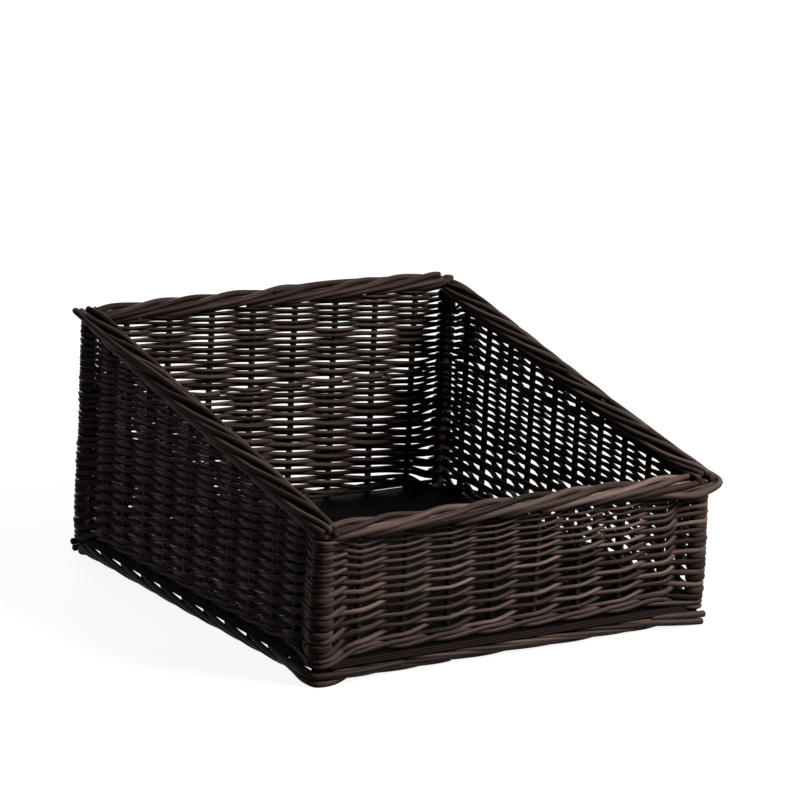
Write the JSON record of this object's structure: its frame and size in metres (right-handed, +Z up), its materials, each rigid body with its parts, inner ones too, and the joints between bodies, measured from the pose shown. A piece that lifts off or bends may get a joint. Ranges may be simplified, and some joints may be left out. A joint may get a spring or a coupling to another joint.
{
  "type": "wicker bread basket",
  "caption": "Open rectangular willow basket with a high back, a low front and sloping sides, woven on stakes that stand in a plywood floor board, for showing bread.",
  "frame": {"origin": "on the ground under the middle of the basket", "axes": "+Z up, -Y towards the low front, +X to the right as seen from the front"},
  "size_m": [0.408, 0.4318, 0.2267],
  "materials": {
    "willow_rod": "dark brown stained willow with a satin varnish",
    "willow_weave": "dark brown stained woven willow with a satin varnish",
    "plywood": "dark stained plywood, nearly matt"
  },
  "bodies": {
    "root": {"base_board": "plywood", "corner_post_front_left": "willow_rod", "corner_post_front_right": "willow_rod", "corner_post_back_left": "willow_rod", "corner_post_back_right": "willow_rod", "front_stake_1": "willow_rod", "front_stake_2": "willow_rod", "front_stake_3": "willow_rod", "front_stake_4": "willow_rod", "front_stake_5": "willow_rod", "front_stake_6": "willow_rod", "front_stake_7": "willow_rod", "front_stake_8": "willow_rod", "back_stake_1": "willow_rod", "back_stake_2": "willow_rod", "back_stake_3": "willow_rod", "back_stake_4": "willow_rod", "back_stake_5": "willow_rod", "back_stake_6": "willow_rod", "back_stake_7": "willow_rod", "back_stake_8": "willow_rod", "left_stake_1": "willow_rod", "left_stake_2": "willow_rod", "left_stake_3": "willow_rod", "left_stake_4": "willow_rod", "left_stake_5": "willow_rod", "left_stake_6": "willow_rod", "left_stake_7": "willow_rod", "left_stake_8": "willow_rod", "left_stake_9": "willow_rod", "left_stake_10": "willow_rod", "right_stake_1": "willow_rod", "right_stake_2": "willow_rod", "right_stake_3": "willow_rod", "right_stake_4": "willow_rod", "right_stake_5": "willow_rod", "right_stake_6": "willow_rod", "right_stake_7": "willow_rod", "right_stake_8": "willow_rod", "right_stake_9": "willow_rod", "right_stake_10": "willow_rod", "front_weave": "willow_weave", "back_weave": "willow_weave", "left_weave": "willow_weave", "right_weave": "willow_weave", "front_rim_outer": "willow_rod", "front_rim_inner": "willow_rod", "back_rim_outer": "willow_rod", "back_rim_inner": "willow_rod", "left_rim_outer": "willow_rod", "left_rim_inner": "willow_rod", "right_rim_outer": "willow_rod", "right_rim_inner": "willow_rod", "front_foot_rod": "willow_rod", "back_foot_rod": "willow_rod", "left_foot_rod": "willow_rod", "right_foot_rod": "willow_rod"}
  },
  "joints": []
}
